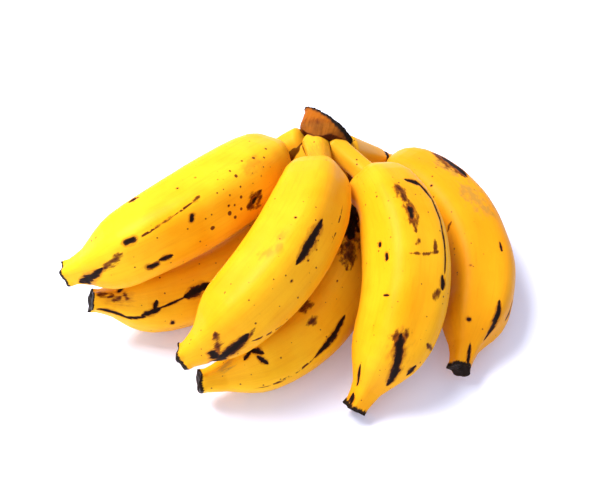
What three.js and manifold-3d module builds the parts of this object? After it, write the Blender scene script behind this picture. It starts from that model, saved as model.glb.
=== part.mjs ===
// A hand of six short ripe bananas, joined at the cut crown and lying on its lower fruits.
// Millimetres, +Z up, +X towards the far right fruit, +Y towards the crown. The table is z = 0.
import * as THREE from "three";
import { mergeVertices } from "three/addons/utils/BufferGeometryUtils.js";
import Module from "manifold-3d";

// Gap left between pieces that touch, and how close two points must be to count as one.
const CLEARANCE = 0.3;
const WELD = 0.001;

// Moves the whole hand so that the origin lies under the middle of its footprint.
const FOOTPRINT_SHIFT = [3, 2, 0];

// The crown is an oval cushion of stalk. Its seat is the middle of its widest level, its axis
// runs from the fruits to the cut, and long is the direction of its greater width.
const CROWN = {
  seat: [11.5, 49, 52.5],
  axis: [0.23, 0.93, 0.29],
  long: [0.97, -0.18, -0.17],
  halfLength: 12,
  halfWidth: 9,
  sides: 32,
};

// Radius share and height in mm of the crown's outline, from the root side to above the cut.
const CROWN_OUTLINE = [
  [0, -6],
  [0.6, -5.6],
  [0.88, -4],
  [0.98, -1.5],
  [1, 1],
  [0.97, 4],
  [0.94, 7],
  [0.96, 10],
  [1.02, 13],
  [1.06, 16],
  [1.06, 19],
  [0, 19],
];

// The knife went through at a slant, so the crown is taller on its left side.
const CUT = { leftRim: [1.8, 61, 57], normal: [0.62, 0.72, 0.31] };

// Every fruit has the same make-up: a short stem from the crown to the neck, a body that bends
// round the elbow point, and a blunt blossom end at the tip. across and side place the stem's
// root in the crown's widest level, sway shifts the stem's bend, girth is the body's mean
// diameter, and roll turns the ridges.
const FINGERS = [
  {
    name: "finger_front",
    across: -4.5,
    side: -0.5,
    neck: [8.2, 24.2, 53.3],
    elbow: [1, -45, 60],
    tip: [-47.2, -59.2, 31.6],
    girth: 35,
    stem: 10.8,
    roll: 38,
  },
  {
    name: "finger_front_right",
    across: 2,
    side: -1,
    sway: [-4, 1, 1],
    neck: [30.6, 28, 46.2],
    elbow: [62, -31, 47],
    tip: [22.4, -66.5, 5],
    girth: 36.5,
    stem: 10.5,
    roll: -5,
  },
  {
    name: "finger_back_left",
    across: -9.5,
    side: -2,
    neck: [-11.3, 43, 46],
    elbow: [-46, -21, 64],
    tip: [-96, -22, 38],
    girth: 35.5,
    stem: 11.5,
    roll: 22,
  },
  {
    name: "finger_far_right",
    across: 10,
    side: -3,
    neck: [42.8, 62.2, 21.7],
    elbow: [97.5, 19, 22.5],
    tip: [65, -51, 9.5],
    girth: 35,
    stem: 11.5,
    roll: 36,
  },
  {
    name: "finger_under_left",
    across: -5,
    side: -6,
    neck: [-1, 26, 30],
    elbow: [-33, -12, 4],
    tip: [-88, -26, 25],
    girth: 33,
    stem: 10.5,
    roll: 60,
  },
  {
    name: "finger_under_front",
    across: 3,
    side: -6.5,
    neck: [22, 28, 24.5],
    elbow: [19, -42.5, 13],
    tip: [-41.5, -59.5, 14],
    girth: 33,
    stem: 10.5,
    roll: 15,
  },
];

// How far the stems' roots lie below the crown's widest level, inside it.
const ROOT_DEPTH = 3;

// How far the stem runs in line with the body before it turns towards the crown.
const COLLAR_REACH = 8;

// Share of the body's length from neck to tip, and share of half the girth there.
const BODY_OUTLINE = [
  [0, 0.28],
  [0.012, 0.46],
  [0.032, 0.6],
  [0.06, 0.72],
  [0.1, 0.82],
  [0.17, 0.91],
  [0.25, 0.965],
  [0.34, 0.99],
  [0.44, 1],
  [0.54, 0.985],
  [0.63, 0.955],
  [0.7, 0.92],
  [0.76, 0.865],
  [0.8, 0.79],
  [0.84, 0.67],
  [0.875, 0.54],
  [0.91, 0.41],
  [0.945, 0.34],
  [0.975, 0.31],
  [1, 0.32],
];
const STEM_STEPS = 6;
const SIDES = 25;
const SCAR_DEPTH = 0.8;
const SCAR_SHARE = 0.6;

// Five soft ridges run along each fruit.
const RIDGES = 5;
const RIDGE_HEIGHT = 0.045;

const SKIN = new THREE.MeshStandardMaterial({ color: 0xf6cf1c, roughness: 0.45, metalness: 0 });
const STALK = new THREE.MeshStandardMaterial({ color: 0xb5651d, roughness: 0.75, metalness: 0 });

const wasm = await Module();
wasm.setup();

const vec = (list) => new THREE.Vector3(...list);

// A closed three.js geometry as a solid. Triangles that shrink to a line at a pole are dropped.
function solidOf(geometry) {
  geometry.deleteAttribute("normal");
  geometry.deleteAttribute("uv");
  const merged = mergeVertices(geometry, WELD);
  const corners = merged.index.array;
  const kept = [];
  for (let i = 0; i < corners.length; i += 3) {
    const [a, b, c] = corners.slice(i, i + 3);
    if (a !== b && b !== c && c !== a) kept.push(a, b, c);
  }
  return new wasm.Manifold(
    new wasm.Mesh({
      numProp: 3,
      vertProperties: merged.attributes.position.array,
      triVerts: new Uint32Array(kept),
    }),
  );
}

function geometryOf(solid) {
  const mesh = solid.getMesh();
  const geometry = new THREE.BufferGeometry();
  geometry.setAttribute("position", new THREE.BufferAttribute(mesh.vertProperties, 3));
  geometry.setIndex(new THREE.BufferAttribute(mesh.triVerts, 1));
  geometry.computeVertexNormals();
  return geometry;
}

// A trim can leave a crumb beside the piece, and only the piece is kept.
function largestBody(solid) {
  const bodies = solid.decompose();
  return bodies.reduce((best, body) => (body.volume() > best.volume() ? body : best));
}

// The crown's own axes: along its greater width, across it towards the upper row, and up to the cut.
function crownFrame() {
  const axis = vec(CROWN.axis).normalize();
  const long = vec(CROWN.long);
  long.addScaledVector(axis, -long.dot(axis)).normalize();
  const side = new THREE.Vector3().crossVectors(long, axis);
  return { seat: vec(CROWN.seat), axis, long, side };
}

// The oval cushion, larger all round by grow, before the knife.
function crownCushion(grow) {
  const { seat, axis, long, side } = crownFrame();
  const outline = CROWN_OUTLINE.map(([share, height]) => {
    return new THREE.Vector2(share, height + Math.sign(height) * grow);
  });
  const geometry = new THREE.LatheGeometry(outline, CROWN.sides);
  geometry.scale(CROWN.halfLength + grow, 1, CROWN.halfWidth + grow);
  geometry.applyMatrix4(new THREE.Matrix4().makeBasis(long, axis, side));
  geometry.translate(seat.x, seat.y, seat.z);
  return solidOf(geometry);
}

// A block whose underside is the knife's plane.
function knifeBlock() {
  const size = 60;
  const geometry = new THREE.BoxGeometry(size, size, size);
  const normal = vec(CUT.normal).normalize();
  const turn = new THREE.Quaternion().setFromUnitVectors(new THREE.Vector3(0, 0, 1), normal);
  const centre = vec(CUT.leftRim).addScaledVector(normal, size / 2);
  geometry.applyQuaternion(turn);
  geometry.translate(centre.x, centre.y, centre.z);
  return solidOf(geometry);
}

// What lies under the table, where the lower fruits are pressed flat.
function tableBlock() {
  const width = 400;
  const depth = 40;
  const geometry = new THREE.BoxGeometry(width, width, depth);
  geometry.translate(0, 0, -depth / 2);
  return solidOf(geometry);
}

// The middle line of a fruit, from the root in the crown to the tip.
function fingerPath(finger) {
  const { seat, axis, long, side } = crownFrame();
  const root = seat.addScaledVector(long, finger.across).addScaledVector(side, finger.side);
  root.addScaledVector(axis, -ROOT_DEPTH);
  const neck = vec(finger.neck);
  const elbow = vec(finger.elbow);
  const tip = vec(finger.tip);
  const lean = elbow.clone().sub(neck).normalize();
  const collar = neck.clone().addScaledVector(lean, -COLLAR_REACH);
  if (finger.sway) collar.add(vec(finger.sway));
  const keel = elbow.clone().sub(neck.clone().lerp(tip, 0.5)).normalize();
  return {
    stem: new THREE.QuadraticBezierCurve3(root, collar, neck),
    body: new THREE.QuadraticBezierCurve3(neck, elbow, tip),
    keel,
  };
}

// Stations along a fruit: a point on the middle line, its direction, and the mean radius.
function fingerStations(finger, path) {
  const neckRadius = (BODY_OUTLINE[0][1] * finger.girth) / 2;
  const stations = [];
  for (let step = 0; step < STEM_STEPS; step++) {
    const share = step / STEM_STEPS;
    const radius = THREE.MathUtils.lerp(finger.stem / 2, neckRadius, share * share);
    stations.push({ curve: path.stem, share, radius });
  }
  for (const [share, radius] of BODY_OUTLINE) {
    stations.push({ curve: path.body, share, radius: (radius * finger.girth) / 2 });
  }
  return stations.map(({ curve, share, radius }) => ({
    point: curve.getPointAt(share),
    direction: curve.getTangentAt(share),
    radius,
  }));
}

// How far the skin stands out at an angle round the fruit, as a share of the mean radius.
function ridgeShare(angle, roll) {
  return 1 + RIDGE_HEIGHT * (Math.cos(RIDGES * (angle - roll)) - 0.3);
}

// A lathe-turned body of the stations' radii, bent along the fruit's middle line.
function fingerSolid(finger, grow) {
  const path = fingerPath(finger);
  const stations = fingerStations(finger, path);
  const last = stations.at(-1);
  const scar = last.point.clone().addScaledVector(last.direction, -SCAR_DEPTH);
  stations.push({ ...last, point: scar, radius: last.radius * SCAR_SHARE });
  const outline = [
    new THREE.Vector2(0, 0),
    ...stations.map(({ radius }, row) => new THREE.Vector2(radius + grow, row)),
    new THREE.Vector2(0, stations.length - 1),
  ];
  const geometry = new THREE.LatheGeometry(outline, SIDES);
  const place = geometry.attributes.position;
  const roll = THREE.MathUtils.degToRad(finger.roll);
  for (let i = 0; i < place.count; i++) {
    const { point, direction } = stations[Math.round(place.getY(i))];
    const outward = path.keel.clone();
    outward.addScaledVector(direction, -outward.dot(direction)).normalize();
    const across = new THREE.Vector3().crossVectors(direction, outward);
    const angle = Math.atan2(-place.getZ(i), place.getX(i));
    const radius = Math.hypot(place.getX(i), place.getZ(i)) * ridgeShare(angle, roll);
    const bent = point.clone();
    bent.addScaledVector(outward, radius * Math.cos(angle));
    bent.addScaledVector(across, radius * Math.sin(angle));
    place.setXYZ(i, bent.x, bent.y, bent.z);
  }
  return solidOf(geometry);
}

// The fruits are trimmed by the table, by the crown and by the fruits before them in the list.
function fingerMeshes() {
  const table = tableBlock();
  const crown = crownCushion(CLEARANCE);
  const grown = [];
  return FINGERS.map((finger) => {
    let solid = fingerSolid(finger, 0).subtract(table).subtract(crown);
    for (const neighbour of grown) solid = solid.subtract(neighbour);
    grown.push(fingerSolid(finger, CLEARANCE));
    const mesh = new THREE.Mesh(geometryOf(largestBody(solid)), SKIN.clone());
    mesh.name = finger.name;
    return mesh;
  });
}

function crownMesh() {
  const mesh = new THREE.Mesh(geometryOf(crownCushion(0).subtract(knifeBlock())), STALK);
  mesh.name = "crown";
  return mesh;
}

const hand = new THREE.Group();
hand.name = "banana_hand";
const laid = new THREE.Group();
laid.position.copy(vec(FOOTPRINT_SHIFT));
laid.add(crownMesh(), ...fingerMeshes());
hand.add(laid);

export default hand;
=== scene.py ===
# %% [markdown]
# # A hand of six short bananas
#
# Six ripe bananas still joined at their crown lie on a white table, as they were cut from
# the bunch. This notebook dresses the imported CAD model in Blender: it builds a finer mesh
# for each fruit and for the crown, gives them waxy peel and drying stalk, and lights them
# softly on a pale floor.
#
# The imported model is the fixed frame. Everything here uses the same axes in metres, so the
# sizes below are the model's own sizes in millimetres, times one factor.

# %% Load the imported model
import math

import bpy
import numpy as np
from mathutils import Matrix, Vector, noise
from mathutils.bvhtree import BVHTree


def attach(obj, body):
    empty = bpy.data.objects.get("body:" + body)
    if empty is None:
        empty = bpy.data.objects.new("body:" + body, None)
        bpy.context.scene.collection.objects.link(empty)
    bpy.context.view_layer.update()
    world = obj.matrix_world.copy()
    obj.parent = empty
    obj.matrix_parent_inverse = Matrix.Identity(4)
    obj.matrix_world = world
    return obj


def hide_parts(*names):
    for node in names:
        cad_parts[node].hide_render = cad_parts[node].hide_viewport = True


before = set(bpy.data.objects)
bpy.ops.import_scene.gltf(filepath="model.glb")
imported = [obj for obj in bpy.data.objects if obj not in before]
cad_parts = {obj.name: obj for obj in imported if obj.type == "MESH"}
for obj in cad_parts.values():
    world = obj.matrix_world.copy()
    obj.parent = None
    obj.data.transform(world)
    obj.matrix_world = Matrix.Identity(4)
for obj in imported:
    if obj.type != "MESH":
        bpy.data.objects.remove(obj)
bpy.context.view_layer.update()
MM = 0.001
print("CAD nodes:", sorted(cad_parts))

# %% [markdown]
# ## Helpers
#
# Colours are picked as sRGB hex values, the way a colour picker shows them, but a shader
# works with linear light. One function turns the one into the other. A second small
# function adds a node with its settings and links, for shader trees and geometry trees alike.

# %% Colour and node helpers
MATH = "ShaderNodeMath"
VECTOR = "ShaderNodeVectorMath"
RANGE = "ShaderNodeMapRange"
MIX = "ShaderNodeMix"


def linear(hex_colour):
    """A shader colour from an sRGB hex value."""
    shares = [int(hex_colour[i : i + 2], 16) / 255 for i in (1, 3, 5)]
    return tuple(s / 12.92 if s <= 0.04045 else ((s + 0.055) / 1.055) ** 2.4 for s in shares) + (1,)


def add_node(tree, kind, inputs=None, **settings):
    """One new node. An input is a value, an output socket, or a node for its first output."""
    node = tree.nodes.new(kind)
    for name, value in settings.items():
        setattr(node, name, value)
    for name, value in (inputs or {}).items():
        socket = node.inputs[name] if isinstance(name, int) else None
        socket = socket or next(s for s in node.inputs if s.name == name and s.enabled)
        if isinstance(value, bpy.types.Node):
            value = next(s for s in value.outputs if s.enabled)
        if isinstance(value, bpy.types.NodeSocket):
            tree.links.new(value, socket)
        else:
            socket.default_value = value
    return node


def smooth_step(low, high, value):
    """0 below low, 1 above high, and a soft rise between them."""
    share = np.clip((value - low) / (high - low), 0, 1)
    return share * share * (3 - 2 * share)


print("A middle grey in linear light:", round(linear("#808080")[0], 3))

# %% [markdown]
# ## The hand's driving sizes
#
# Each fruit follows one rule: a stem that runs from its root in the crown to its neck, and
# a body that bends from the neck past an elbow to the blossom end. Three points, a girth
# and a stem width say it all.

# %% Sizes of the fruits and the crown, in millimetres
FOOTPRINT_SHIFT = np.array([3.0, 2.0, 0.0])

CROWN_SEAT = np.array([11.5, 49, 52.5]) + FOOTPRINT_SHIFT
CROWN_AXIS = np.array([0.23, 0.93, 0.29])
CROWN_LONG = np.array([0.97, -0.18, -0.17])
CROWN_HALF_LENGTH = 12.0
CROWN_HALF_WIDTH = 9.0
CUT_POINT = np.array([1.8, 61, 57]) + FOOTPRINT_SHIFT
CUT_NORMAL = np.array([0.62, 0.72, 0.31])

# Share of the crown's half sizes, and height along its axis.
CROWN_OUTLINE = [(0, -6), (0.6, -5.6), (0.88, -4), (0.98, -1.5), (1, 1), (0.97, 4), (0.94, 7),
                 (0.96, 10), (1.02, 13), (1.06, 16), (1.06, 19)]

ROOT_DEPTH = 4.0
COLLAR_REACH = 8.0

# across and side place the root in the crown, sway shifts the stem's bend, and roll turns the
# ridges, in degrees.
FINGERS = {
    "front": dict(across=-4.5, side=0, neck=(8.2, 24.2, 53.3), elbow=(1, -45, 60),
                  tip=(-47.2, -59.2, 31.6), girth=35, stem=10.8, roll=38),
    "front_right": dict(across=2.5, side=0.8, sway=(-4, 1, 1), neck=(30.6, 28, 46.2),
                        elbow=(62, -31, 47), tip=(22, -67.4, 5), girth=36.5, stem=10, roll=-5),
    "back_left": dict(across=-8.3, side=-3, neck=(-11, 42.8, 45.7), elbow=(-46, -21, 64),
                      tip=(-96, -22, 38), girth=35.5, stem=12, roll=22),
    "far_right": dict(across=9, side=-3, neck=(42.8, 61.8, 21.4), elbow=(97.5, 19, 22.5),
                      tip=(66, -51.2, 9.4), girth=35, stem=12.5, roll=36),
    "under_left": dict(across=-6.5, side=-6, neck=(-1, 26, 30), elbow=(-33, -12, 4),
                       tip=(-88, -26, 25), girth=33, stem=14, roll=60),
    "under_front": dict(across=3, side=-6.5, neck=(23, 28, 25), elbow=(20, -43, 13),
                        tip=(-41.5, -59.5, 14), girth=33, stem=14, roll=15),
}

# Share of the body's length from neck to tip, and share of half the girth there.
BODY_OUTLINE = [(0, 0.28), (0.012, 0.46), (0.032, 0.6), (0.06, 0.72), (0.1, 0.82), (0.17, 0.91),
                (0.25, 0.965), (0.34, 0.99), (0.44, 1), (0.54, 0.985), (0.63, 0.955), (0.7, 0.92),
                (0.76, 0.865), (0.8, 0.79), (0.84, 0.67), (0.875, 0.535), (0.91, 0.4),
                (0.945, 0.33), (0.975, 0.29), (1, 0.28)]
RIDGE_HEIGHT = 0.045

# How much thicker a stem is at its root in the crown, as a share, and the length in mm over
# which its buried end is rounded off.
ROOT_FLARE = 0.12
ROOT_ROUND = 3.5
LEAST_ROUND = 0.1

# Share of deeper yellow per fruit: ripening, and on the two right-hand fruits also painted shade where
# less light falls.
RIPENESS_AND_SHADE = {"front_right": 0.3, "far_right": 0.65, "front": 0.3}

# Width in mm of the dried band at the blossom end.
DRY_WIDTH = {"front": 0.9, "front_right": 2.0, "back_left": 0.8, "far_right": 1.6, "under_left": 0.5,
             "under_front": 1.1}

# %% [markdown]
# ## Uneven growth
#
# No fruit is quite true to the rule: some are fuller on one side near the blossom end, and
# leaner on the other. Each swelling is a spot in millimetres from the neck and degrees
# round the fruit, how far the skin stands out there in mm, and how wide the swelling is.

# %% Swellings
SWELLS = {
    "back_left": [(100, 297, 2.4, 13), (90, 115, -0.6, 16), (-8, 270, 2.4, 8)],
    "under_left": [(70, 30, 0.5, 20), (84, 20, 0.7, 14)],
    "front": [(101, 310, 2.6, 12), (104, 130, -1.4, 10), (111, 100, -0.9, 6),
              (110, 285, 0.6, 6), (8, 285, 1.8, 8), (6, 110, 0.8, 8)],
    "under_front": [(60, 10, 0.4, 20), (108, 110, -0.7, 8), (113, 290, 0.9, 9), (116, 110, -0.9, 5)],
    "front_right": [(106, 90, 0.4, 9), (98, 345, -2, 14), (4, 150, 2.2, 7), (20, 165, -3.2, 12)],
    "far_right": [(113, 0, -2.4, 12), (108, 125, 2.2, 12), (78, 8, 0.8, 12)],
}

# The blossom end is not cut square: it slants back on one side, by so many mm at this angle.
SLANTS = {"front_right": (0.8, 345), "far_right": (2, 20), "under_front": (1, 110), "front": (0.8, 100)}

# %% [markdown]
# ## Camera
#
# The hand was seen from 47 degrees above the table through a normal lens, about half a
# metre away. The camera comes first, because the marks on the unseen sides need to know
# which side is unseen.

# %% Camera


def new_object(name, data):
    """An object for a mesh, a light or a camera, linked to the scene."""
    thing = bpy.data.objects.new(name, data)
    bpy.context.scene.collection.objects.link(thing)
    return thing


CAMERA_ELEVATION = math.radians(47)
CAMERA_DISTANCE = 468.0
CAMERA_TARGET = np.array([3.0, 2.0, 32.0])
to_camera = np.array([0, -math.cos(CAMERA_ELEVATION), math.sin(CAMERA_ELEVATION)])

camera_data = bpy.data.cameras.new("camera")
camera_data.lens = 65
camera_data.sensor_width = 36
camera_data.sensor_fit = "HORIZONTAL"
camera_data.clip_start = 0.01
camera = new_object("camera", camera_data)
camera.location = Vector((CAMERA_TARGET + to_camera * CAMERA_DISTANCE) * MM)
camera.rotation_euler = Vector(-to_camera).to_track_quat("-Z", "Y").to_euler()
bpy.context.scene.camera = camera
print("Camera at", [round(c, 3) for c in camera.location])

# %% [markdown]
# ## The middle line of a fruit
#
# A banana grows along a curve, so its middle line comes first. It is made of two quadratic
# Beziers, one for the stem and one for the body, because such a curve needs only three
# points for one even bend. The line is walked by arc length, so that the width at each share
# of the length lands in the right place.

# %% Middle lines
LINE_POINTS = 200


def unit(vector):
    return vector / np.linalg.norm(vector, axis=-1, keepdims=True)


def bezier(start, bend, end, steps=1000):
    """Points on a quadratic curve, evenly spaced along it, and its length."""
    t = np.linspace(0, 1, steps)[:, None]
    line = (1 - t) ** 2 * start + 2 * t * (1 - t) * bend + t**2 * end
    run = np.concatenate([[0], np.cumsum(np.linalg.norm(np.diff(line, axis=0), axis=1))])
    even = np.linspace(0, run[-1], LINE_POINTS)
    return np.stack([np.interp(even, run, line[:, k]) for k in range(3)], axis=1), run[-1]


crown_axis = unit(CROWN_AXIS)
crown_long = unit(CROWN_LONG - crown_axis * CROWN_LONG.dot(crown_axis))
crown_side = np.cross(crown_long, crown_axis)


def middle_line(finger):
    """The spine's points and radii, the keel's direction, and the lengths of stem and body."""
    neck, elbow, tip = (np.array(finger[k], float) + FOOTPRINT_SHIFT for k in ("neck", "elbow", "tip"))
    root = CROWN_SEAT + crown_long * finger["across"] + crown_side * finger["side"]
    root = root - crown_axis * ROOT_DEPTH
    collar = neck - unit(elbow - neck) * COLLAR_REACH + finger.get("sway", (0, 0, 0))
    stem, stem_length = bezier(root, collar, neck)
    body, body_length = bezier(neck, elbow, tip)
    keel = unit(elbow - (neck + tip) / 2)
    share = np.linspace(0, 1, LINE_POINTS)
    widest = finger["girth"] / 2
    stem_radius = finger["stem"] / 2 * (1 + ROOT_FLARE * (1 - share) ** 2)
    stem_radius += (BODY_OUTLINE[0][1] * widest - finger["stem"] / 2) * share**2
    buried = np.clip(1 - share * stem_length / ROOT_ROUND, 0, 1)
    stem_radius *= np.maximum(np.sqrt(1 - buried**2), LEAST_ROUND)
    body_radius = np.interp(share, *zip(*BODY_OUTLINE)) * widest
    points = np.concatenate([stem[:-1], body])
    radii = np.concatenate([stem_radius[:-1], body_radius])
    return points, radii, keel, stem_length, body_length


for name, finger in FINGERS.items():
    finger["line"] = middle_line(finger)
    print(f"{name}: stem {finger['line'][3]:.0f} mm, body {finger['line'][4]:.0f} mm")

# %% [markdown]
# ## The fruit's skin as a geometry tree
#
# Every fruit is the same thing grown along another line, so one Geometry Nodes tree makes
# all six. It lays a grid round the middle line: one side of the grid runs along the fruit
# and the other goes round it. The five ridges of a banana come from a wave round the
# circle. At both ends the last few rows close in to a point, so the shell has no hole.

# %% Geometry tree
ROWS_ALONG = 300
ROWS_AROUND = 200
CAP_SHARE = 0.02
RIDGES = 5
# The part of the wave that lies below the mean skin, and what is left of it on the stem.
RIDGE_BALANCE = 0.3
STEM_RIDGE = 0.2
MERGE_DISTANCE = 1e-6


def fruit_tree():
    tree = bpy.data.node_groups.new("ridged_fruit_along_a_line", "GeometryNodeTree")
    tree.interface.new_socket("Geometry", in_out="OUTPUT", socket_type="NodeSocketGeometry")
    for label, kind in [("Middle Line", "Geometry"), ("Rows Along", "Int"), ("Rows Around", "Int"),
                        ("Keel", "Vector"), ("Roll", "Float"), ("Ridge Height", "Float"),
                        ("Stem Share", "Float"), ("Cap Share", "Float"), ("Peel", "Material")]:
        tree.interface.new_socket(label, in_out="INPUT", socket_type="NodeSocket" + kind)
    given = tree.nodes.new("NodeGroupInput").outputs

    # A flat grid, one unit each way: x becomes the angle, y the share of the length.
    grid = add_node(tree, "GeometryNodeMeshGrid", {
        "Size X": 1.0, "Size Y": 1.0,
        "Vertices X": given["Rows Around"], "Vertices Y": given["Rows Along"]})
    flat = add_node(tree, "ShaderNodeSeparateXYZ", {0: add_node(tree, "GeometryNodeInputPosition")})
    angle = add_node(tree, MATH, {0: flat.outputs["X"], 1: 2 * math.pi, 2: math.pi},
                     operation="MULTIPLY_ADD")
    along = add_node(tree, MATH, {0: flat.outputs["Y"], 1: 0.5}, operation="ADD")

    # The first and last rows stay at the line's ends and close in to a point.
    far_cap = add_node(tree, MATH, {0: 1.0, 1: given["Cap Share"]}, operation="SUBTRACT")
    run = add_node(tree, RANGE, {
        "Value": along, "From Min": given["Cap Share"], "From Max": far_cap})
    rest = add_node(tree, MATH, {0: 1.0, 1: along}, operation="SUBTRACT")
    from_end = add_node(tree, MATH, {0: along, 1: rest}, operation="MINIMUM")
    closing = add_node(tree, RANGE, {"Value": from_end, "From Max": given["Cap Share"]})

    # Place, direction and radius on the middle line.
    line = add_node(tree, "GeometryNodeMeshToCurve", {"Mesh": given["Middle Line"]})
    width = add_node(tree, "GeometryNodeInputNamedAttribute", {"Name": "spine_radius"})
    sample = add_node(tree, "GeometryNodeSampleCurve", {
        "Curves": line, "Value": width, "Factor": run}, mode="FACTOR")
    forward = sample.outputs["Tangent"]

    # Two directions square to the line: out towards the keel, and across.
    lean = add_node(tree, VECTOR, {0: given["Keel"], 1: forward}, operation="DOT_PRODUCT")
    slip = add_node(tree, VECTOR, {0: forward, "Scale": lean.outputs["Value"]}, operation="SCALE")
    square = add_node(tree, VECTOR, {0: given["Keel"], 1: slip}, operation="SUBTRACT")
    out = add_node(tree, VECTOR, {0: square}, operation="NORMALIZE")
    across = add_node(tree, VECTOR, {0: forward, 1: out}, operation="CROSS_PRODUCT")

    # Five ridges as a wave round the fruit, which die away down the stem.
    turned = add_node(tree, MATH, {0: angle, 1: given["Roll"]}, operation="SUBTRACT")
    wave = add_node(tree, MATH, {0: turned, 1: float(RIDGES)}, operation="MULTIPLY")
    crest = add_node(tree, MATH, {0: wave}, operation="COSINE")
    low_crest = add_node(tree, MATH, {0: crest, 1: RIDGE_BALANCE}, operation="SUBTRACT")
    rise = add_node(tree, RANGE, {"Value": run, "From Max": given["Stem Share"],
                                  "To Min": STEM_RIDGE})
    rise = add_node(tree, MATH, {0: rise, 1: given["Ridge Height"]}, operation="MULTIPLY")
    ridge = add_node(tree, MATH, {0: low_crest, 1: rise, 2: 1.0}, operation="MULTIPLY_ADD")
    closed = add_node(tree, MATH, {0: sample, 1: closing}, operation="MULTIPLY")
    reach = add_node(tree, MATH, {0: closed, 1: ridge}, operation="MULTIPLY")

    cosine = add_node(tree, MATH, {0: angle}, operation="COSINE")
    sine = add_node(tree, MATH, {0: angle}, operation="SINE")
    out_part = add_node(tree, VECTOR, {0: out, "Scale": cosine}, operation="SCALE")
    across_part = add_node(tree, VECTOR, {0: across, "Scale": sine}, operation="SCALE")
    spoke = add_node(tree, VECTOR, {0: out_part, 1: across_part}, operation="ADD")
    arm = add_node(tree, VECTOR, {0: spoke, "Scale": reach}, operation="SCALE")
    spot = add_node(tree, VECTOR, {0: sample.outputs["Position"], 1: arm}, operation="ADD")

    # What a later cell needs to know about each point is stored while the grid is still flat.
    shell = grid
    for name, value in [("run", run), ("closing", closing), ("cosine", cosine), ("sine", sine)]:
        shell = add_node(tree, "GeometryNodeStoreNamedAttribute", {
            "Geometry": shell, "Name": name, "Value": value})
    shell = add_node(tree, "GeometryNodeSetPosition", {"Geometry": shell, "Position": spot})
    shell = add_node(tree, "GeometryNodeMergeByDistance", {
        "Geometry": shell, "Distance": MERGE_DISTANCE})
    shell = add_node(tree, "GeometryNodeSetShadeSmooth", {"Geometry": shell})
    shell = add_node(tree, "GeometryNodeRealizeInstances", {"Geometry": shell})
    shell = add_node(tree, "GeometryNodeSetMaterial", {"Geometry": shell, "Material": given["Peel"]})
    add_node(tree, "NodeGroupOutput", {"Geometry": shell})
    return tree


fruit_growth = fruit_tree()
print("Geometry tree with", len(fruit_growth.nodes), "nodes")

# %% [markdown]
# ## Colours in layers
#
# Plant skin gets its looks in layers: a ground colour, patches in it, spots on it, and dead
# tissue over all. The materials are built the same way. Each layer has a measure, such as
# the distance to a bruise, and its colour comes in where the measure passes from one value
# to another. A noise that is drawn out along the fibres frays the edges, because a clean
# edge would look printed.

# %% Material helpers
EVEN = "LINEAR"
SOFT = "SMOOTHSTEP"


def new_material(name):
    """An empty material, its tree, and the object's own coordinates for its patterns."""
    material = bpy.data.materials.new(name)
    material.use_nodes = True
    tree = material.node_tree
    tree.nodes.clear()
    return material, tree, add_node(tree, "ShaderNodeTexCoord").outputs["Object"]


def skin_noise(tree, field, length, around, along, detail, roughness):
    """Noise on the unrolled skin: so many lobes to the radius, and so many to a mm of length."""
    parts = {}
    for axis, measure, lobes in [("X", field["turn_cos"], around), ("Y", field["turn_sin"], around),
                                 ("Z", length, along)]:
        parts[axis] = add_node(tree, MATH, {0: measure, 1: lobes}, operation="MULTIPLY")
    unrolled = add_node(tree, "ShaderNodeCombineXYZ", parts)
    return add_node(tree, "ShaderNodeTexNoise", {
        "Vector": unrolled, "Scale": 1.0, "Detail": detail, "Roughness": roughness})


def lay_colours(tree, colour, layers):
    """Colours over each other. A layer is a measure, where its colour starts to show and
    where it is full, how much it covers, how it comes in, and the colour."""
    for measure, start, full, cover, rise, paint in layers:
        mask = add_node(tree, RANGE, {"Value": measure, "From Min": start, "From Max": full,
                                      "To Max": cover}, interpolation_type=rise)
        colour = add_node(tree, MIX, {"Factor": mask, "A": colour, "B": paint}, data_type="RGBA")
    return colour


print("Ways for a colour to come in:", EVEN, "and", SOFT)

# %% [markdown]
# ## Banana peel
#
# Ripe banana peel is a thin waxy skin that grew and was never worked. It is satin, not
# shiny: light spreads softly over it, and a broad sheen follows the ridges. Its yellow is
# deeper than it looks in bright light, and it turns orange where fruits light each other.
# Sugar spots, rubbed ridges and bruises go brown and then black, and they sink a little.
#
# The pattern follows each fruit, so the mesh carries its own measures as attributes: how
# far in millimetres from the neck and from the crown and the other stems, how far from the
# tip in widths of its dry band, and how far outside each kind of mark in half widths of
# the mark. The material only has to say what colour each distance has.

# %% Peel material
PEEL_PALE = linear("#EFB41E")
PEEL_GOLD = linear("#E79D0E")
PEEL_NECK = linear("#E69E20")
PEEL_STEM = linear("#E0A01E")
PEEL_RIPE_AND_SHADED = linear("#DC8608")
STREAK = linear("#D07C0C")
FRECKLE = linear("#6E3A12")
SOFT_BROWN = linear("#B9741A")
SCUFF_BROWN = linear("#5E2408")
SCUFF_CORE = linear("#35130A")
SCUFF_GREY = linear("#7C6A3C")
HALO = linear("#9E4F0A")
BRUISE = linear("#1A0D08")
BRUISE_EDGE = linear("#43200D")
RUBBED = linear("#552609")
DRY_END = linear("#20150E")
# Painted shade for the creases where the stems meet the crown and each other.
CREASE_SHADE = linear("#4A1F08")


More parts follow.
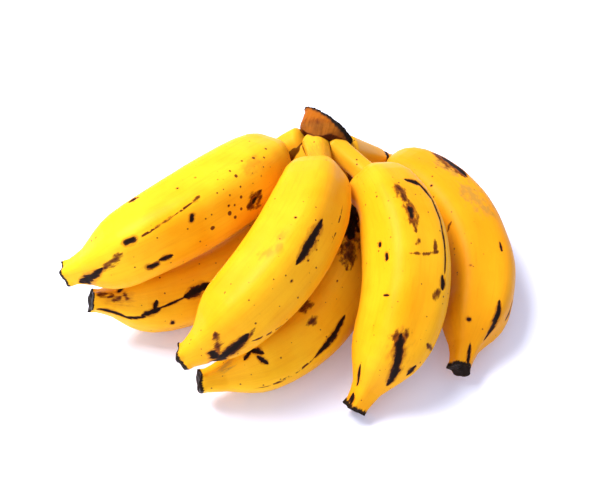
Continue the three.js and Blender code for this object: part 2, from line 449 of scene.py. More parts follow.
def peel_material():
    material, tree, place = new_material("ripe_banana_peel")
    field = {}
    for name in ("from_neck", "from_tip", "from_crown", "turn_cos", "turn_sin", "black", "brown",
                 "grey", "soft", "line_side", "line_gate", "freckles", "ripeness"):
        field[name] = add_node(tree, "ShaderNodeAttribute", attribute_name=name).outputs["Fac"]

    # Large soft patches of paler and deeper yellow, about 25 mm across, and fine fibres.
    cloud = add_node(tree, "ShaderNodeTexNoise", {"Vector": place, "Scale": 40.0, "Detail": 3.0})
    fibre = skin_noise(tree, field, field["from_neck"], 13.0, 0.07, 4.0, 0.6)

    # The noise that frays the edges of all marks has lobes of 2 mm by 4 mm, with finer crumbs
    # on top. It moves each kind's edge by so many half widths of the mark.
    fray = skin_noise(tree, field, field["from_neck"], 8.0, 0.27, 5.0, 0.62)
    fray = add_node(tree, RANGE, {"Value": fray, "From Min": 0.25, "From Max": 0.75,
                                  "To Min": -1.0, "To Max": 1.0})
    frayed = {}
    for name, depth in [("soft", 1.0), ("grey", 1.3), ("brown", 1.0), ("black", 0.6),
                        ("from_tip", 0.45)]:
        frayed[name] = add_node(tree, MATH, {0: fray, 1: depth, 2: field[name]},
                                operation="MULTIPLY_ADD")
    bruised = add_node(tree, RANGE, {"Value": frayed["black"], "From Min": 0.15, "From Max": -0.15},
                       interpolation_type=SOFT)

    # Sugar spots: the middles of 2 mm cells, larger where the freckle measure is high.
    cells = add_node(tree, "ShaderNodeTexVoronoi", {"Vector": place, "Scale": 430.0})
    grain = add_node(tree, "ShaderNodeSeparateColor", {"Color": cells.outputs["Color"]})
    size = add_node(tree, MATH, {0: grain.outputs["Red"], 1: 4.0}, operation="POWER")
    size = add_node(tree, MATH, {0: size, 1: field["freckles"]}, operation="MULTIPLY")
    spot = add_node(tree, MATH, {0: size, 1: cells.outputs["Distance"]}, operation="SUBTRACT")

    # Rubbed ridge lines, broken up along their length.
    rubbed = add_node(tree, "ShaderNodeTexNoise", {"Vector": place, "Scale": 420.0, "Detail": 2.0})
    gate = add_node(tree, RANGE, {"Value": rubbed, "From Min": 0.4, "From Max": 0.5})
    side = add_node(tree, MATH, {0: field["line_side"]}, operation="ABSOLUTE")
    side = add_node(tree, MATH, {0: fray, 1: 0.7, 2: side}, operation="MULTIPLY_ADD")
    rub = add_node(tree, RANGE, {"Value": side, "From Min": 1.5, "From Max": 0.6},
                   interpolation_type=SOFT)
    rub = add_node(tree, MATH, {0: rub, 1: field["line_gate"]}, operation="MULTIPLY")
    rub = add_node(tree, MATH, {0: rub, 1: gate}, operation="MULTIPLY")

    colour = lay_colours(tree, PEEL_PALE, [
        (cloud, 0.35, 0.68, 1.0, EVEN, PEEL_GOLD),
        # Deeper yellow for riper fruits, which on the two right-hand fruits is also painted shade.
        (field["ripeness"], 0.0, 1.0, 1.0, EVEN, PEEL_RIPE_AND_SHADED),
        # The shoulder and the stem are more orange than the body.
        (field["from_neck"], 22.0, 2.0, 0.75, SOFT, PEEL_NECK),
        (field["from_neck"], 3.0, -8.0, 1.0, SOFT, PEEL_STEM),
        (fibre, 0.5, 0.8, 0.35, EVEN, STREAK),
        # Smudges and scuffs lie under the wax, and sugar spots come through it.
        (frayed["soft"], 0.6, -0.9, 0.55, SOFT, SOFT_BROWN),
        (frayed["grey"], 0.5, -1.0, 0.5, SOFT, SCUFF_GREY),
        (spot, -0.04, 0.08, 1.0, SOFT, FRECKLE),
        (frayed["brown"], 0.3, -0.7, 0.92, SOFT, SCUFF_BROWN),
        (frayed["brown"], -0.6, -1.3, 0.8, SOFT, SCUFF_CORE),
        # A bruise has an orange-brown halo, a dark brown edge and a black middle.
        (frayed["black"], 1.0, 0.1, 0.6, SOFT, HALO),
        (bruised, 0.0, 1.0, 1.0, EVEN, BRUISE_EDGE),
        (frayed["black"], -0.1, -0.55, 1.0, SOFT, BRUISE),
        (rub, 0.0, 1.0, 1.0, EVEN, RUBBED),
        # The blossom end is dry, and painted shade darkens the crease where stems meet the crown and each
        # other.
        (frayed["from_tip"], 1.35, 0.8, 1.0, SOFT, DRY_END),
        (field["from_crown"], 0.8, 0.1, 0.9, SOFT, CREASE_SHADE),
    ])

    # Pores and fibres barely lift the wax, and dead skin is rougher.
    pores = add_node(tree, "ShaderNodeTexNoise", {"Vector": place, "Scale": 900.0, "Detail": 3.0})
    grain_height = add_node(tree, MATH, {0: fibre, 1: 0.6, 2: pores}, operation="MULTIPLY_ADD")
    bump = add_node(tree, "ShaderNodeBump", {"Strength": 0.35, "Distance": 0.00012,
                                             "Height": grain_height})
    roughness = add_node(tree, RANGE, {"Value": bruised, "To Min": 0.42, "To Max": 0.62})
    shader = add_node(tree, "ShaderNodeBsdfPrincipled", {
        "Base Color": colour, "Roughness": roughness, "Normal": bump, "IOR": 1.45,
        "Subsurface Weight": 0.05, "Subsurface Radius": (1.0, 0.45, 0.08),
        "Subsurface Scale": 0.002, "Specular IOR Level": 0.08})
    add_node(tree, "ShaderNodeOutputMaterial", {"Surface": shader})
    return material


peel = peel_material()
print("Peel material with", len(peel.node_tree.nodes), "nodes")

# %% [markdown]
# ## Crown stalk
#
# The crown is the cushion of stalk that held the hand to the bunch. It is living fibre
# that was cut with a knife: its flank dries from orange to brown with fine upright
# fibres, and its cut edge curls and goes black. The cut face shows the ends of the
# fibre bundles as small pits.

# %% Stalk material
FLANK_ORANGE = linear("#9C5206")
FLANK_BROWN = linear("#5A2303")
FLANK_TAN = linear("#7C4A12")
CUT_BLACK = linear("#17120F")
CUT_FIBRE = linear("#5A3A22")
FACE_BROWN = linear("#3A2416")


def stalk_material():
    material, tree, place = new_material("drying_banana_stalk")
    field = {}
    for name in ("height", "turn_cos", "turn_sin", "from_rim", "cut_face"):
        field[name] = add_node(tree, "ShaderNodeAttribute", attribute_name=name).outputs["Fac"]

    # Upright fibres, about 0.8 mm apart round the cushion, and patches that are browner
    # towards its right end.
    fibre = skin_noise(tree, field, field["height"], 8.0, 0.16, 5.0, 0.6)
    cloud = add_node(tree, "ShaderNodeTexNoise", {"Vector": place, "Scale": 150.0, "Detail": 4.0})
    blend = add_node(tree, MATH, {0: fibre, 1: 0.6, 2: cloud}, operation="MULTIPLY_ADD")
    blend = add_node(tree, MATH, {0: field["turn_cos"], 1: 0.16, 2: blend}, operation="MULTIPLY_ADD")

    # The height with an uneven edge, and the distance from the knife's edge, more uneven still.
    low = add_node(tree, MATH, {0: cloud, 1: 3.0, 2: field["height"]}, operation="MULTIPLY_ADD")
    fray = add_node(tree, "ShaderNodeTexNoise", {"Vector": place, "Scale": 500.0, "Detail": 4.0})
    rim = add_node(tree, MATH, {0: fray, 1: 2.4, 2: field["from_rim"]}, operation="MULTIPLY_ADD")
    rim = add_node(tree, MATH, {0: field["turn_cos"], 1: -1.0, 2: rim}, operation="MULTIPLY_ADD")

    # The ends of the fibre bundles on the cut face, drawn about 1.2 mm apart so that they show.
    bundles = add_node(tree, "ShaderNodeTexVoronoi", {"Vector": place, "Scale": 800.0})
    face = lay_colours(tree, CUT_FIBRE, [
        (bundles.outputs["Distance"], 0.2, 0.45, 1.0, EVEN, FACE_BROWN)])

    colour = lay_colours(tree, FLANK_ORANGE, [
        (blend, 0.68, 1.0, 1.0, EVEN, FLANK_BROWN),
        # The lower edge is dry and tan where it stands proud of the stems, and painted shade darkens it
        # below, in the crease against the stems.
        (low, 2.6, 0.4, 0.5, SOFT, FLANK_TAN),
        (low, -1.8, -2.6, 1.0, SOFT, CREASE_SHADE),
        (rim, 3.4, 2.0, 1.0, SOFT, CUT_BLACK),
        (field["cut_face"], 0.0, 1.0, 1.0, EVEN, face),
    ])

    height = add_node(tree, MATH, {0: fibre, 1: 2.0, 2: fray}, operation="MULTIPLY_ADD")
    bump = add_node(tree, "ShaderNodeBump", {"Strength": 0.6, "Distance": 0.0004, "Height": height})
    shader = add_node(tree, "ShaderNodeBsdfPrincipled", {
        "Base Color": colour, "Roughness": 0.72, "Normal": bump, "IOR": 1.45,
        "Specular IOR Level": 0.1})
    add_node(tree, "ShaderNodeOutputMaterial", {"Surface": shader})
    return material


stalk = stalk_material()
print("Stalk material with", len(stalk.node_tree.nodes), "nodes")

# %% [markdown]
# ## The crown's mesh
#
# The crown is an oval cushion with a waist, cut off by a slanting knife. It could be a
# sculpt, but its rule is short: rings that follow an outline up to the knife's plane, then
# rings that close the cut face. The rings are laid in numpy, so each point knows how high
# it stands and how far it is from the cut edge, which the stalk material needs.

# %% Noise, rings and fields


def noise_at(places, feature, seed):
    """Smooth noise from -1 to 1 at points in mm, with lumps of the given size in mm."""
    shift = Vector((seed * 17.3, seed * 5.1, seed * 9.7))
    return np.array([noise.noise(Vector(p) + shift) for p in places / feature])


def mesh_from_rows(name, rows, material, fields):
    """A closed shell from rings of points in mm; its first and last ring are single poles."""
    around = rows.shape[1]
    middle = rows[1:-1].reshape(-1, 3)
    places = np.concatenate([rows[0, :1], middle, rows[-1, :1]])
    last = len(places) - 1
    faces = []
    for i in range(around):
        j = (i + 1) % around
        faces.append((0, 1 + j, 1 + i))
        faces.append((last, last - around + i, last - around + j))
    for row in range(len(rows) - 3):
        low, high = 1 + row * around, 1 + (row + 1) * around
        for i in range(around):
            j = (i + 1) % around
            faces.append((low + i, low + j, high + j, high + i))
    mesh = bpy.data.meshes.new(name)
    mesh.from_pydata((places * MM).tolist(), [], faces)
    mesh.polygons.foreach_set("use_smooth", [True] * len(mesh.polygons))
    mesh.materials.append(material)
    for key, values in fields.items():
        values = np.concatenate([values[0, :1], values[1:-1].ravel(), values[-1, :1]])
        store_field(mesh, key, values)
    mesh.update()
    return mesh


def store_field(mesh, name, values):
    layer = mesh.attributes.new(name, "FLOAT", "POINT")
    layer.data.foreach_set("value", np.ascontiguousarray(values, dtype=np.float32))


print("Noise at the origin:", round(float(noise_at(np.zeros((1, 3)), 1.0, 3)[0]), 3))

# %% Crown rings
CROWN_AROUND = 240
FLANK_ROWS = 90
FACE_ROWS = 46
RIM_RAGGED = 0.55
RIM_CURL = 0.7
CURL_REACH = 2.2
FACE_DEPTH = 1.3
FACE_INSIDE = 8.0

# A first guess in mm for where the knife meets the flank, and how often it is bettered.
TOP_GUESS = 12.0
TOP_ROUNDS = 8

# How far the flank's lower edge hangs over the stems, in mm, at each turn in degrees.
CROWN_HANG = [(0, 0), (40, 0), (75, 0.6), (95, 2.4), (115, 3.2), (135, 1.8), (160, -0.8), (180, -2.4),
              (220, -1.5), (270, 0), (360, 0)]


def crown_rows():
    """Rings from the base, up the flank to the knife's plane, and over the cut face."""
    turn = -np.linspace(0, 2 * math.pi, CROWN_AROUND, endpoint=False)
    cosine, sine = np.cos(turn), np.sin(turn)
    normal = unit(CUT_NORMAL)
    share, height = np.array(CROWN_OUTLINE).T
    run = np.concatenate([[0], np.cumsum(np.hypot(np.diff(share) * CROWN_HALF_WIDTH, np.diff(height)))])
    ring = np.stack([cosine, sine, 0 * turn], axis=1)
    ragged = noise_at(ring * 8, 1.6, 3) + 0.6 * noise_at(ring * 8, 0.6, 4)
    top = np.full(CROWN_AROUND, TOP_GUESS)
    for _ in range(TOP_ROUNDS):
        wide = np.interp(top, height[2:], share[2:])
        spoke = (np.outer(cosine * wide * CROWN_HALF_LENGTH, crown_long)
                 + np.outer(sine * wide * CROWN_HALF_WIDTH, crown_side))
        top = ((CUT_POINT - CROWN_SEAT - spoke) @ normal) / (crown_axis @ normal)
    top = top + RIM_RAGGED * ragged
    rim_run = np.interp(top, height, run)
    hang = np.interp(np.degrees(turn) % 360, *zip(*CROWN_HANG))

    rows, heights, from_rim, cut_face = [], [], [], []
    for t in np.linspace(0, 1, FLANK_ROWS):
        here = rim_run * t
        wide, high = np.interp(here, run, share), np.interp(here, run, height)
        gap = rim_run - here
        curl = RIM_CURL * np.clip(1 - gap / CURL_REACH, 0, 1) ** 2
        rows.append(CROWN_SEAT + np.outer(cosine * (wide * CROWN_HALF_LENGTH + curl), crown_long)
                    + np.outer(sine * (wide * CROWN_HALF_WIDTH + curl), crown_side)
                    + np.outer(high - hang * smooth_step(1, -4, high), crown_axis))
        heights.append(high)
        from_rim.append(gap)
        cut_face.append(0 * turn)
    rim = rows[-1]
    centre = rim.mean(axis=0)
    for s in np.linspace(0, 1, FACE_ROWS)[1:]:
        inward = rim + (centre - rim) * s
        sunk = FACE_DEPTH * smooth_step(0.02, 0.3, s)
        rows.append(inward - crown_axis * sunk)
        heights.append(top - sunk)
        from_rim.append(-FACE_INSIDE * s + 0 * turn)
        cut_face.append(smooth_step(0.06, 0.16, s) + 0 * turn)
    fields = dict(height=heights, from_rim=from_rim, cut_face=cut_face,
                  turn_cos=[cosine] * len(rows), turn_sin=[sine] * len(rows))
    return np.array(rows), {key: np.array(value) for key, value in fields.items()}


rows, fields = crown_rows()
print("Crown rings:", len(rows))

# %% Crown relief and mesh
# Height and size in mm of each kind of unevenness. Fibres are counted round the flank instead.
FLANK_LUMPS = (0.35, 5.0)
FLANK_FIBRES = (0.16, 1.0)
FACE_CRUMBS = (0.35, 1.3)
FACE_GRIT = (0.2, 0.6)
FIBRES_AROUND = 9
FIBRES_UP = 0.12


def unevenness(kinds):
    """Several kinds of unevenness in one: each has a height and a size, points, and a seed."""
    return sum(high * noise_at(spots, wide, seed) for (high, wide), spots, seed in kinds)


def crown_relief(rows, fields):
    """Low swellings and fibres on the flank, and a crumbly cut face, in mm."""
    flat = rows.reshape(-1, 3)
    outward = unit(flat - CROWN_SEAT - np.outer((flat - CROWN_SEAT) @ crown_axis, crown_axis) + 1e-9)
    fibre = np.stack([fields["turn_cos"].ravel() * FIBRES_AROUND,
                      fields["turn_sin"].ravel() * FIBRES_AROUND,
                      fields["height"].ravel() * FIBRES_UP], axis=1)
    face = fields["cut_face"].ravel()
    flank = unevenness([(FLANK_LUMPS, flat, 1), (FLANK_FIBRES, fibre, 2)])
    crumbs = unevenness([(FACE_CRUMBS, flat, 5), (FACE_GRIT, flat, 6)])
    moved = flat + outward * (flank * (1 - face))[:, None] + crown_axis * (crumbs * face)[:, None]
    moved = moved.reshape(rows.shape)
    moved[0] = moved[0].mean(axis=0)
    moved[-1] = moved[-1].mean(axis=0)
    return moved


crown_mesh = mesh_from_rows("crown_stalk", crown_relief(rows, fields), stalk, fields)
crown = new_object("crown_stalk", crown_mesh)
print("Crown:", len(crown_mesh.vertices), "points")

# %% [markdown]
# ## The marks on the peel
#
# Each mark is a stroke on the unrolled peel. It runs from one spot to another, and a spot
# is given as millimetres from the neck and degrees round the fruit, with 0 on the outer
# curve and the angle growing to the right of the way the fruit grows. The last number is
# the stroke's width in mm. Black strokes are bruises and, where they are short, spots.
# The rings round the stems of the front and the two lower fruits, and two wide strokes on
# the under-front fruit's neck, are painted shade instead.
# Brown and grey ones are scuffs, soft ones are smudges, lines are rubbed ridges, and
# freckles are where the small sugar spots crowd. The seen ones are listed, and the
# unseen sides get a few at random spots.

# %% Seen marks
MARKS = {
    "back_left": {
        "black": [(85.5, 18, 83.5, 17, 2.4), (110, 320, 97, 356, 3.2), (106, 325, 104, 335, 3),
                  (78, 86, 76, 84, 1.6), (63, 7, 63.6, 3, 1.7), (79, 331, 74, 328, 2.1),
                  (83, 328, 80.5, 326, 2), (39, 333, 36, 339, 2.2), (53, 54, 53, 54, 0.9),
                  (61, 55, 61, 55, 0.9), (49, 352, 49, 352, 0.9)],
        "brown": [(57, 25, 61, 22, 1.6), (67, 20, 77, 16, 1.6), (99, 350, 88, 367, 3.4),
                  (79, 88, 74, 80, 3), (42, 330, 33, 343, 6.5), (84, 325, 79, 329, 3)],
        "soft": [(34, 23, 29, 24, 6)],
        "line": [(59, 23, 69, 19, 0.9), (75, 17, 82, 15, 0.9), (103, 294, 92, 292, 1.2)],
        "freckles": [(20, 30, 58, -22, 16)],
    },
    "under_left": {
        "black": [(96, 134, 95, 138, 1.6), (105, 59, 91, 54, 1.5), (94, 55, 86, 68, 1),
                  (88, 69, 80, 84, 2), (83, 80, 81.5, 98, 1.9), (82, 82, 68, 95, 1),
                  (70, 94, 57, 102, 4.4), (76, 55, 76, 57, 1.4)],
        # The last brown stroke, a ring round the stem, is painted shade on the stem.
        "brown": [(104, 135, 102, 133, 3.2), (98, 104, 96, 110, 2.4), (93, 108, 94, 118, 1.8),
                  (101, 118, 98, 124, 2), (-12, -170, -12, 170, 13)],
        "soft": [(99, 121, 93, 110, 6)],
        "line": [(77, 33, 70, 38, 0.8)],
    },
    "front": {
        "black": [(40, 18, 59, 16, 4.2), (45, 51, 45, 51, 0.9), (47, 7, 47, 7, 0.7),
                  (50, 2, 50, 2, 0.7), (64, 6, 64, 6, 1.1), (55, 4, 55, 4, 0.8),
                  (103, 308, 94, 339, 3), (97, 335, 85, 353, 3.6), (98, 350, 98, 342, 3)],
        "brown": [(93, 31, 97, -18, 3.4), (90, 343, 82, 354, 2.0)],
        # The last soft stroke, a band round the stem, is painted shade from the crown.
        "soft": [(54, 54, 53, 54, 3.4), (63, 61, 61, 54, 3.8), (59, 48, 58, 48, 3.0),
                 (-12, -170, -3, 170, 14)],
        "line": [(86, 339, 74, 318, 1.0), (28, -8, 42, -14, 0.8)],
    },
    "under_front": {
        # The wide black stroke from 4 to 27 mm and the wide brown one from 20 to 42 mm are painted shade
        # in the deep gap between the fruits, and the brown ring round the stem is painted shade too.
        "black": [(100, 80, 96, 91, 1.8), (96, 91, 92, 74, 2.2), (95, 76, 92, 54, 1.8),
                  (57, 40, 76, 25, 2.4), (4, 98, 27, 86, 8)],
        "brown": [(68, 96, 65, 93, 4.4), (70, 73, 68, 72, 3.4), (20, 92, 42, 76, 8),
                  (-12, -170, -12, 170, 14)],
        "grey": [(108, 90, 106, 98, 4.5)],
        "line": [(76, 25, 98, 12, 1.0)],
    },
    "front_right": {
        "black": [(34, 47, 37, 47, 2.4), (19, 32, 22, 6, 2.4), (20, 12, 30, -1, 1.7),
                  (27, 1, 40, 2, 1.3), (36, 2, 50, 4, 1.1), (46, 3, 57, 5, 0.9),
                  (45, 99, 46, 99, 1.6), (51, 89, 53, 89, 1.5), (68, 90, 68, 78, 0.9),
                  (57, 9, 62, 6, 2.4), (80, 50, 91, 37, 3.8), (86, 42, 100, 17, 3.4),
                  (93, 2, 88, 3, 2.6), (97, 101, 106, 104, 1.6), (109, 106, 114, 92, 2.6)],
        "brown": [(24, 52, 30, 50, 4.2), (33, 48, 38, 47, 5.2), (40, 47, 44, 47, 2.2),
                  (52, 60, 51, 30, 1.5), (51.5, 40, 49.5, 14, 1.5), (50, 22, 45, 18, 2.4),
                  (48, 48, 47, 44, 1.8), (65, 17, 63, 14, 3), (80, 44, 82, 54, 4.6),
                  (80, 8, 81, -13, 2)],
        "soft": [(78, 52, 94, 30, 8)],
    },
    "far_right": {
        "black": [(20, 42, 37, 47, 4), (34, 109, 34, 109, 1.1), (84, 100, 84, 100, 1.1),
                  (108, 96, 108, 96, 1.5), (73, 50, 73, 50, 1.0), (71, 51, 76, 50, 1.2),
                  (97, 49, 113, 28, 2.8), (90, 5, 100, 2, 3), (116, 76, 126, 52, 1.6),
                  (-5, -170, -5, 170, 2.8)],
        "brown": [(17, 46, 37, 52, 7), (58, 114, 62, 127, 1.6)],
        "grey": [(20, 58, 36, 62, 6), (45, 66, 54, 58, 9), (83, 18, 91, 4, 3)],
    },
}
print("Seen marks:", sum(len(strokes) for kinds in MARKS.values() for strokes in kinds.values()))

# %% Unseen marks
UNSEEN_TRIES = 26
UNSEEN_FROM_NECK = 12
UNSEEN_FROM_TIP = 14
FACES_AWAY = -0.15

# Each kind of unseen mark: its share of them all, its colour, and its length and width in mm.
UNSEEN_KINDS = [(0.6, "black", 1.5, 1.2), (0.25, "brown", 7, 2.2), (0.15, "black", 12, 2.0)]
UNSEEN_WIDTHS = (0.7, 1.3)
UNSEEN_SLANT = 8


def spoke_at(line, along, around):
    """The way out of the skin at a spot given in mm and degrees."""
    points, _, keel, stem_length, _ = line
    run = np.concatenate([[0], np.cumsum(np.linalg.norm(np.diff(points, axis=0), axis=1))])
    spots = [np.array([np.interp(stem_length + along + d, run, points[:, k]) for k in range(3)])
             for d in (-1, 1)]
    forward = unit(spots[1] - spots[0])
    out = unit(keel - forward * keel.dot(forward))
    across = np.cross(forward, out)
    turn = math.radians(around)
    return out * math.cos(turn) + across * math.sin(turn)


def unseen_marks(line, rng):
    """Small random marks where the skin faces away from the camera."""
    marks = {}
    for _ in range(UNSEEN_TRIES):
        along, around = rng.uniform(UNSEEN_FROM_NECK, line[4] - UNSEEN_FROM_TIP), rng.uniform(0, 360)
        kind = rng.choice(len(UNSEEN_KINDS), p=[row[0] for row in UNSEEN_KINDS])
        length, width = rng.uniform(0, 1), rng.uniform(*UNSEEN_WIDTHS)
        if spoke_at(line, along, around) @ to_camera > FACES_AWAY:
            continue
        _, name, reach, wide = UNSEEN_KINDS[kind]
        marks.setdefault(name, []).append(
            (along, around, along + reach * length, around + UNSEEN_SLANT * length, wide * width))
    return marks


rng = np.random.default_rng(6)
for name, finger in FINGERS.items():
    unseen = unseen_marks(finger["line"], rng)
    finger["marks"] = {kind: MARKS[name].get(kind, []) + unseen.get(kind, [])
                       for kind in ("black", "brown", "grey", "soft", "line", "freckles")}
    print(f"{name}: {sum(map(len, unseen.values()))} unseen marks")

# %% [markdown]
# ## From strokes to distances
#
# A stroke's colour can't be painted on the mesh, because its points are half a millimetre
# apart and the edge would look like stairs. A distance can be stored instead: it changes
# evenly from point to point, so the material can draw a sharp edge anywhere between them.

# %% Mark distances
FAR_OFF = 20.0
LINE_CLIP = 4.0
LINE_REACH = (0.6, 1.6)

# How large the small sugar spots get everywhere, and how much more where they crowd.
FRECKLES = 0.22
FRECKLE_CROWD = 0.35


def stroke_distance(along, around, radius, stroke):
    """Distance in mm to a stroke's middle, signed distance across it, and half its width there."""
    start, start_turn, end, end_turn, width = stroke
    turn = (around - (start_turn + end_turn) / 2 + 180) % 360 - 180
    x = along - start
    y = np.radians(turn + (end_turn - start_turn) / 2) * radius
    run_x = end - start
    run_y = np.radians(end_turn - start_turn) * radius
    length = np.maximum(np.hypot(run_x, run_y), 1e-3)
    t = np.clip((x * run_x + y * run_y) / length**2, 0, 1)
    gap = np.hypot(x - t * run_x, y - t * run_y)
    side = (x * run_y - y * run_x) / length
    taper = np.where(length > 1.5 * width, 0.15 + 0.85 * (4 * t * (1 - t)) ** 0.7, 1)
    return gap, side, width / 2 * taper


def mark_fields(along, around, radius, marks):
    """How far outside each kind of mark every point lies, in half widths; -1 in its middle."""
    fields = {kind: np.full(len(along), FAR_OFF) for kind in ("black", "brown", "grey", "soft")}
    for kind, field in fields.items():
        for stroke in marks[kind]:
            gap, _, half = stroke_distance(along, around, radius, stroke)
            np.minimum(field, gap / half - 1, out=field)
    nearest = np.full(len(along), FAR_OFF)
    side_field = np.full(len(along), LINE_CLIP)
    for stroke in marks["line"]:
        gap, side, half = stroke_distance(along, around, radius, stroke)
        closer = gap < nearest
        side_field[closer] = np.clip(side / half, -LINE_CLIP, LINE_CLIP)[closer]
        nearest = np.minimum(nearest, gap)
    dense = np.zeros(len(along))
    for stroke in marks["freckles"]:
        gap, _, half = stroke_distance(along, around, radius, stroke)
        dense = np.maximum(dense, 1 - smooth_step(0, half, gap - half / 2))
    fields["line_side"] = side_field
    fields["line_gate"] = 1 - smooth_step(*LINE_REACH, nearest)
    fields["freckles"] = FRECKLES + FRECKLE_CROWD * dense
    return fields


probe = mark_fields(np.array([50.0]), np.array([18.0]), np.array([17.0]), FINGERS["front"]["marks"])
print("Half widths outside a bruise, 50 mm down the front fruit:", round(probe["black"][0], 2))

# %% [markdown]
# ## From rule to fruit
#
# A grown fruit is never as even as its rule. Each shell gets low lumps, sunken bruises and
# a torn blossom end. Then it gives way to its neighbours: where two fruits would overlap,
# the later one is pressed flat against the earlier one, as in the bunch, and the table
# presses the lowest ones flat.

# %% The tree's shell as a plain mesh


def grow_shell(name, finger):
    """The tree's mesh for one fruit, as a plain mesh."""
    points, radii, keel, stem_length, body_length = finger["line"]
    spine = bpy.data.meshes.new(name + "_line")
    spine.from_pydata((points * MM).tolist(), [(i, i + 1) for i in range(len(points) - 1)], [])
    store_field(spine, "spine_radius", radii * MM)
    grower = new_object(name + "_line", spine)
    growth = grower.modifiers.new("growth", "NODES")
    growth.node_group = fruit_growth
    given = {"Rows Along": ROWS_ALONG, "Rows Around": ROWS_AROUND, "Keel": list(keel),
             "Roll": math.radians(finger["roll"]), "Ridge Height": RIDGE_HEIGHT,
             "Stem Share": stem_length / (stem_length + body_length), "Cap Share": CAP_SHARE,
             "Peel": peel}
    for socket in fruit_growth.interface.items_tree:
        if socket.name in given:
            growth[socket.identifier] = given[socket.name]
    depsgraph = bpy.context.evaluated_depsgraph_get()
    mesh = bpy.data.meshes.new_from_object(grower.evaluated_get(depsgraph))
    grower.modifiers.remove(growth)
    bpy.data.objects.remove(grower)
    mesh.name = name
    return mesh


def read_field(mesh, name):
    values = np.empty(len(mesh.vertices), np.float32)
    mesh.attributes[name].data.foreach_get("value", values)
    mesh.attributes.remove(mesh.attributes[name])
    return values.astype(float)


def read_vectors(collection, name):
    values = np.empty(len(collection) * 3, np.float32)
    collection.foreach_get(name, values)
    return values.reshape(-1, 3).astype(float)


print("Points in each shell, about:", ROWS_ALONG * ROWS_AROUND)

# %% Swellings and the torn blossom end
SCAR_DEPTH = 0.8
SCAR_REACH = (0.3, 3.5)
SCAR_CORNERS = 0.09
SCAR_SPIKES = 7
SPIKE_WIDTHS = (9, 26)
SPIKE_HEIGHTS = (-0.4, 0.8)
SPIKE_REACH = 1.6
SLANT_REACH = 9.0


def swelling(name, along, around, radius):
    """How far the skin stands out, or in, at the fruit's own swellings, in mm."""
    total = np.zeros(len(along))
    for at, turn, height, reach in SWELLS[name]:
        sideways = np.radians((around - turn + 180) % 360 - 180) * radius
        total += height * np.exp(-((along - at) ** 2 + sideways**2) / reach**2)
    return total


def torn_end(name, places, from_tip, closing, around, finger, rng):
    """The dished, ragged end where the blossom dropped off."""
    tip, elbow = (np.array(finger[k], float) for k in ("tip", "elbow"))
    forward = unit(tip - elbow)
    near = 1 - smooth_step(*SCAR_REACH, from_tip)
    dish = np.where(from_tip < 0.01, 1 - smooth_step(0.45, 1, closing), 0)
    shift = -SCAR_DEPTH * dish
    rim = near * smooth_step(0.2, 0.9, closing)
    for _ in range(SCAR_SPIKES):
        at, wide, high = rng.uniform(0, 360), rng.uniform(*SPIKE_WIDTHS), rng.uniform(*SPIKE_HEIGHTS)
        turn = (around - at + 180) % 360 - 180
        spike = high * rim * np.exp(-((turn / wide) ** 2))
        shift = shift + spike * (1 - smooth_step(0, SPIKE_REACH, from_tip))
    slant, slant_turn = SLANTS.get(name, (0, 0))
    slanting = np.clip(np.cos(np.radians(around - slant_turn)), 0, 1)
    shift = shift - slant * slanting * (1 - smooth_step(0, SLANT_REACH, from_tip))
    angular = SCAR_CORNERS * np.cos(np.radians(RIDGES * (around - finger["roll"])))
    centre = tip + FOOTPRINT_SHIFT
    spoke = places - centre - np.outer((places - centre) @ forward, forward)
    return places + forward * shift[:, None] + spoke * (angular * near)[:, None]


print("Spikes round each blossom end:", SCAR_SPIKES)

# %% Pressing, and distances to neighbours
PRESS_GAP = 0.2
PRESS_REACH = 7.0


def press_against(places, neighbours):
    """Points inside a neighbour, or closer than the gap, move out to its skin."""
    moved = 0
    for tree, low, high in neighbours:
        near = np.all((places > low) & (places < high), axis=1)
        for index in np.nonzero(near)[0]:
            spot = Vector(places[index])
            skin, normal, _, _ = tree.find_nearest(spot, PRESS_REACH)
            if skin is not None and (spot - skin).dot(normal) < PRESS_GAP:
                places[index] = skin + normal * PRESS_GAP
                moved += 1
    return moved


def distance_to(tree, places, limit):
    gaps = np.full(len(places), limit)
    for index, place in enumerate(places):
        spot, normal, _, gap = tree.find_nearest(Vector(place), limit)
        if spot is not None:
            gaps[index] = gap if (Vector(place) - spot).dot(normal) > 0 else 0
    return gaps


def skin_tree(places, mesh):
    """A search tree of a skin, in mm."""
    return BVHTree.FromPolygons(places.tolist(), [tuple(face.vertices) for face in mesh.polygons])


crown_tree = skin_tree(read_vectors(crown_mesh.vertices, "co") / MM, crown_mesh)
print("Gap between pressed fruits in mm:", PRESS_GAP)

# %% Grow the six fruits
LUMPS = (0.3, 22.0)
FINE_LUMPS = (0.07, 7.0)
DENT_DEPTH = 0.35
DENT_EDGE = (0.4, -0.9)

# Stems are measured against the crown up to so far past the neck, and for so many mm.
NEAR_CROWN = 4
CREASE_REACH = 2.0
FAR_FROM_CROWN = 12.0


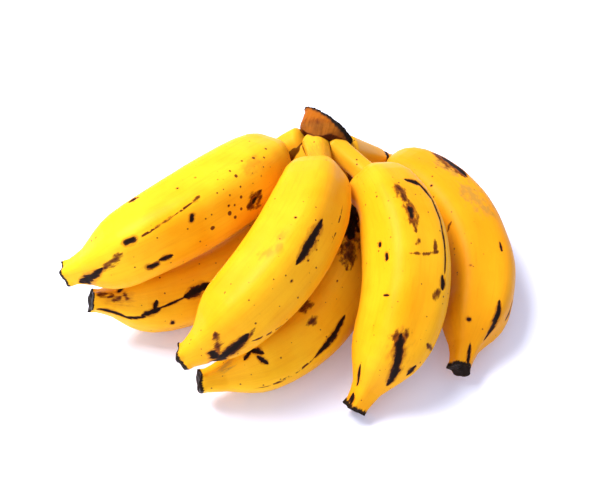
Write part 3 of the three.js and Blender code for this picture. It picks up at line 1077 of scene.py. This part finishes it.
def grow_fruit(name, finger, seed, neighbours, crown_tree):
    mesh = grow_shell("banana_" + name, finger)
    rng = np.random.default_rng(seed)
    _, _, _, stem_length, body_length = finger["line"]
    run, closing = read_field(mesh, "run"), read_field(mesh, "closing")
    cosine, sine = read_field(mesh, "cosine"), read_field(mesh, "sine")
    along = run * (stem_length + body_length) - stem_length
    around = np.degrees(np.arctan2(sine, cosine))
    radius = np.interp(along / body_length, *zip(*BODY_OUTLINE)) * finger["girth"] / 2
    fields = mark_fields(along, around, radius, finger["marks"])

    places = read_vectors(mesh.vertices, "co") / MM
    normals = read_vectors(mesh.vertices, "normal")
    lumps = unevenness([(LUMPS, places, seed), (FINE_LUMPS, places, seed)])
    dents = DENT_DEPTH * smooth_step(*DENT_EDGE, fields["black"])
    swells = swelling(name, along, around, radius)
    places = places + normals * ((lumps + swells - dents) * smooth_step(0, 1, closing))[:, None]
    places = torn_end(name, places, body_length - along, closing, around, finger, rng)
    pressed = press_against(places, neighbours)
    places[:, 2] = np.maximum(places[:, 2], 0)
    mesh.vertices.foreach_set("co", (places * MM).astype(np.float32).ravel())

    # The distance to the crown and the other stems drives the painted crease shade.
    near_crown = along < NEAR_CROWN
    from_crown = np.full(len(places), FAR_FROM_CROWN)
    for tree in [crown_tree] + [neighbour[0] for neighbour in neighbours]:
        from_crown[near_crown] = np.minimum(
            from_crown[near_crown], distance_to(tree, places[near_crown], CREASE_REACH))
    fields.update(from_neck=along, from_tip=(body_length - along) / DRY_WIDTH[name], from_crown=from_crown,
                  turn_cos=cosine, turn_sin=sine, ripeness=np.full(len(places), RIPENESS_AND_SHADE.get(name, 0)))
    for key, values in fields.items():
        store_field(mesh, key, values)
    mesh.update()
    fruit = new_object("banana_" + name, mesh)
    neighbours.append((skin_tree(places, mesh), places.min(axis=0) - PRESS_REACH,
                       places.max(axis=0) + PRESS_REACH))
    print(f"{fruit.name}: {len(mesh.vertices)} points, {pressed} of them pressed by neighbours")
    return fruit


grown = []
fruits = {name: grow_fruit(name, finger, seed, grown, crown_tree)
          for seed, (name, finger) in enumerate(FINGERS.items(), start=11)}

# %% [markdown]
# ## Each piece takes its node's place
#
# The crown and the six fruits stand for the CAD nodes of the same names. Nothing on a hand
# of bananas moves, so all of them ride on the one body.

# %% Pieces and bodies
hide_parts("crown")
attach(crown, "root")
for name, fruit in fruits.items():
    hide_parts("finger_" + name)
    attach(fruit, "root")
print("Pieces:", 1 + len(fruits))

# %% [markdown]
# ## Table, light and view
#
# The photograph has a white surface and bright soft daylight, so bright that the yellow
# peel washes out to lemon on top and stays golden only in the shade. A large soft light
# from the upper left and a bright sky give that. The Standard view transform clips the
# brightest colours the way such a bright picture does. The table has a faint painted glow,
# an emission that lights it from within so that its shadows stay pale and cool.

# %% Table
FLOOR_WHITE = linear("#E9ECFB")
FLOOR_COOL = linear("#E5E8F8")
FLOOR_PAINTED_GLOW = linear("#DAD6FF")
FLOOR_HALF = 1.5


def floor_material():
    material, tree, place = new_material("white_table")
    cloud = add_node(tree, "ShaderNodeTexNoise", {"Vector": place, "Scale": 6.0})
    colour = lay_colours(tree, FLOOR_WHITE, [(cloud, 0.0, 1.0, 1.0, EVEN, FLOOR_COOL)])
    # A faint painted glow lifts the table's shadows, though the table is no lamp.
    shader = add_node(tree, "ShaderNodeBsdfPrincipled", {
        "Base Color": colour, "Roughness": 0.8, "Emission Color": FLOOR_PAINTED_GLOW,
        "Emission Strength": 0.14})
    add_node(tree, "ShaderNodeOutputMaterial", {"Surface": shader})
    return material


corners = [(x * FLOOR_HALF, y * FLOOR_HALF, 0) for x, y in ((-1, -1), (1, -1), (1, 1), (-1, 1))]
floor_mesh = bpy.data.meshes.new("table_top")
floor_mesh.from_pydata(corners, [], [(0, 1, 2, 3)])
floor_mesh.materials.append(floor_material())
floor = new_object("table_top", floor_mesh)
print("Table:", 2 * FLOOR_HALF, "m across")

# %% Lights, sky and view
# A square light's place in metres, its watts, its width in metres, and its colour.
LIGHTS = {
    "window": ((-0.45, 0.16, 0.88), 17.0, 0.5, (1.0, 0.985, 0.96)),
    "front_fill": ((-0.5, -0.85, 0.4), 4.0, 0.9, (1.0, 0.98, 0.95)),
}
SKY_COLOUR = (0.78, 0.86, 1.0, 1)
SKY_STRENGTH = 0.76

for name, (place, watts, size, colour) in LIGHTS.items():
    data = bpy.data.lights.new(name, "AREA")
    data.energy = watts
    data.size = size
    data.color = colour
    light = new_object(name, data)
    light.location = place
    light.rotation_euler = (-Vector(place)).to_track_quat("-Z", "Y").to_euler()

world = bpy.data.worlds.new("bright_room")
world.use_nodes = True
world.node_tree.nodes.clear()
sky = add_node(world.node_tree, "ShaderNodeBackground", {
    "Color": SKY_COLOUR, "Strength": SKY_STRENGTH})
add_node(world.node_tree, "ShaderNodeOutputWorld", {"Surface": sky})
bpy.context.scene.world = world
bpy.context.scene.view_settings.view_transform = "Standard"
print("Lights:", ", ".join(LIGHTS))
